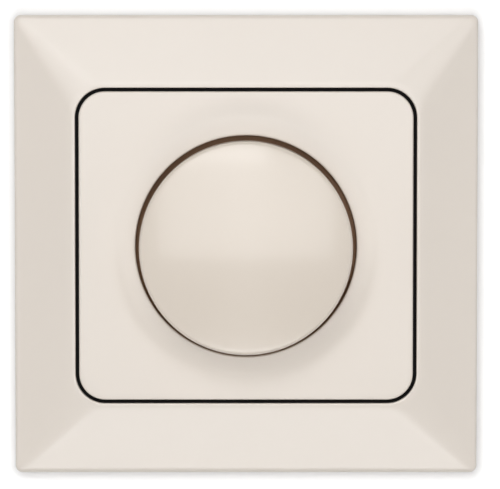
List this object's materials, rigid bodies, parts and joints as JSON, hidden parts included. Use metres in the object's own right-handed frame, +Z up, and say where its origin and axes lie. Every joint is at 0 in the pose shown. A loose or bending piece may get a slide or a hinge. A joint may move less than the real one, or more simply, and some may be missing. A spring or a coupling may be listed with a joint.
{
  "type": "flush rotary dimmer switch",
  "caption": "Flush-mounted rotary dimmer with a square cover frame, a raised collar, a domed push and turn knob, a steel strap and a wired housing behind.",
  "frame": {"origin": "the middle of the four box screw slots, in the plane of the wall", "axes": "+X right, +Z up, the front faces -Y"},
  "size_m": [0.084, 0.047, 0.0832],
  "materials": {
    "black_rubber": "moulded rubber",
    "cream_plastic": "satin-gloss moulded thermoset, cream white",
    "zinc_steel": "bright zinc plated",
    "spring_steel": "blued spring steel",
    "nickel_brass": "turned brass",
    "plated_copper": "tinned",
    "grey_plastic": "moulded, fine grain",
    "white_plastic": "moulded nylon",
    "sheet_plastic": "pressed fibre sheet",
    "board_laminate": "glass fibre laminate with solder mask",
    "phenolic": "phenolic wafer",
    "carbon_film": "carbon film",
    "black_resin": "moulded epoxy",
    "aluminium": "rolled sheet",
    "ferrite": "lacquered iron powder ring",
    "enamelled_wire": "enamelled copper",
    "film_box": "moulded capacitor box",
    "resistor_body": "lacquered body",
    "diac_glass": "lacquered glass bead",
    "fuse_glass": "clear tube"
  },
  "bodies": {
    "root": {"bushing": "nickel_brass", "bushing_nut": "nickel_brass", "centre_plate": "cream_plastic", "choke_core": "ferrite", "choke_winding": "enamelled_wire", "circuit_board": "board_laminate", "cover_nut": "nickel_brass", "diac": "diac_glass", "frame": "cream_plastic", "fuse_caps": "plated_copper", "fuse_clips": "plated_copper", "fuse_tube": "fuse_glass", "heat_sink": "aluminium", "housing": "grey_plastic", "housing_screws": "zinc_steel", "insulating_sheet": "sheet_plastic", "interference_capacitor": "film_box", "potentiometer_case": "zinc_steel", "potentiometer_pins": "plated_copper", "push_spring": "spring_steel", "push_switch_body": "black_resin", "push_switch_pins": "plated_copper", "resistive_track": "carbon_film", "resistors": "resistor_body", "sealing_ring": "black_rubber", "support_strap": "zinc_steel", "terminal_cage_left": "nickel_brass", "terminal_cage_middle": "nickel_brass", "terminal_cage_right": "nickel_brass", "timing_capacitors": "film_box", "tooth_washer": "zinc_steel", "track_wafer": "phenolic", "triac_body": "black_resin", "triac_leads": "plated_copper", "triac_screw": "zinc_steel", "triac_tab": "plated_copper"},
    "rotor": {"wiper_rotor": "white_plastic", "wiper_contact": "nickel_brass"},
    "dial": {"knob": "cream_plastic", "knob_leaf_spring": "spring_steel", "shaft": "zinc_steel"},
    "plunger": {"push_switch_plunger": "white_plastic", "contact_bridge": "plated_copper"},
    "clamp_left": {"terminal_clamp_left": "plated_copper"},
    "screw_left": {"terminal_screw_left": "zinc_steel"},
    "clamp_middle": {"terminal_clamp_middle": "plated_copper"},
    "screw_middle": {"terminal_screw_middle": "zinc_steel"},
    "clamp_right": {"terminal_clamp_right": "plated_copper"},
    "screw_right": {"terminal_screw_right": "zinc_steel"}
  },
  "joints": [
    {"name": "brightness_turn", "type": "hinge", "parent": "root", "child": "rotor", "pos_m": [0, 0, 0], "axis": [0, 1, 0], "range_deg": [-140, 140]},
    {"name": "knob_push", "type": "slide", "parent": "rotor", "child": "dial", "axis": [0, 1, 0], "range_m": [0, 0.0015], "stiffness_N_per_m": 2000, "springref_m": -0.002},
    {"name": "plunger_travel", "type": "slide", "parent": "root", "child": "plunger", "axis": [0, 1, 0], "range_m": [0, 0.0015], "deforming": ["push_spring"]},
    {"name": "clamp_lift_left", "type": "slide", "parent": "root", "child": "clamp_left", "axis": [0, 0, 1], "range_m": [0, 0.0036]},
    {"name": "screw_turn_left", "type": "hinge", "parent": "clamp_left", "child": "screw_left", "pos_m": [-0.011, 0.0219, 0], "axis": [0, 0, 1], "range_deg": [0, 2160]},
    {"name": "clamp_lift_middle", "type": "slide", "parent": "root", "child": "clamp_middle", "axis": [0, 0, 1], "range_m": [0, 0.0036]},
    {"name": "screw_turn_middle", "type": "hinge", "parent": "clamp_middle", "child": "screw_middle", "pos_m": [0, 0.0219, 0], "axis": [0, 0, 1], "range_deg": [0, 2160]},
    {"name": "clamp_lift_right", "type": "slide", "parent": "root", "child": "clamp_right", "axis": [0, 0, 1], "range_m": [0, 0.0036]},
    {"name": "screw_turn_right", "type": "hinge", "parent": "clamp_right", "child": "screw_right", "pos_m": [0.011, 0.0219, 0], "axis": [0, 0, 1], "range_deg": [0, 2160]}
  ],
  "couplings": [
    {"joint": "plunger_travel", "follows": "knob_push", "ratio": 1},
    {"joint": "screw_turn_left", "follows": "clamp_lift_left", "rad_per_m": 10472},
    {"joint": "screw_turn_middle", "follows": "clamp_lift_middle", "rad_per_m": 10472},
    {"joint": "screw_turn_right", "follows": "clamp_lift_right", "rad_per_m": 10472}
  ]
}
